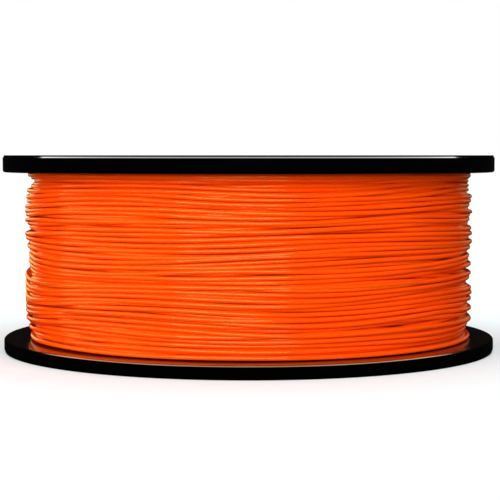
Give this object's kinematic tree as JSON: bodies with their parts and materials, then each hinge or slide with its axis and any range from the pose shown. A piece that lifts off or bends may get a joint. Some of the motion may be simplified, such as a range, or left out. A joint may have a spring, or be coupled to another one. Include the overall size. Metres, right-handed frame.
{
  "type": "filament spool",
  "caption": "Full spool of round plastic filament: rimmed flanges with windows, screwed to a hub barrel around a through bore for a spindle.",
  "frame": {"origin": "centre of the bottom: on the spool's axis, in the plane of the lower flange's rim", "axes": "+Z along the spool's axis, from the lower flange to the upper one; the front faces -Y, and the slot that holds the filament's outer end is at the back, towards +Y"},
  "size_m": [0.2, 0.2, 0.079],
  "materials": {
    "flange_plastic": "glossy black moulded polystyrene",
    "core_plastic": "satin black moulded polystyrene",
    "filament": "glossy orange extruded PLA filament, slightly translucent",
    "screw_steel": "zinc-plated thread-forming screws",
    "label_paper": "plain coated paper sticker"
  },
  "bodies": {
    "root": {"lower_flange": "flange_plastic", "upper_flange": "flange_plastic", "hub_barrel": "core_plastic", "spindle_sleeve": "core_plastic", "lower_flange_screw_1": "screw_steel", "lower_flange_screw_2": "screw_steel", "lower_flange_screw_3": "screw_steel", "lower_flange_screw_4": "screw_steel", "lower_flange_screw_5": "screw_steel", "lower_flange_screw_6": "screw_steel", "upper_flange_screw_1": "screw_steel", "upper_flange_screw_2": "screw_steel", "upper_flange_screw_3": "screw_steel", "upper_flange_screw_4": "screw_steel", "upper_flange_screw_5": "screw_steel", "upper_flange_screw_6": "screw_steel", "filament_winding": "filament", "filament_outer_end": "filament", "filament_inner_end": "filament", "spool_label": "label_paper"}
  },
  "joints": []
}
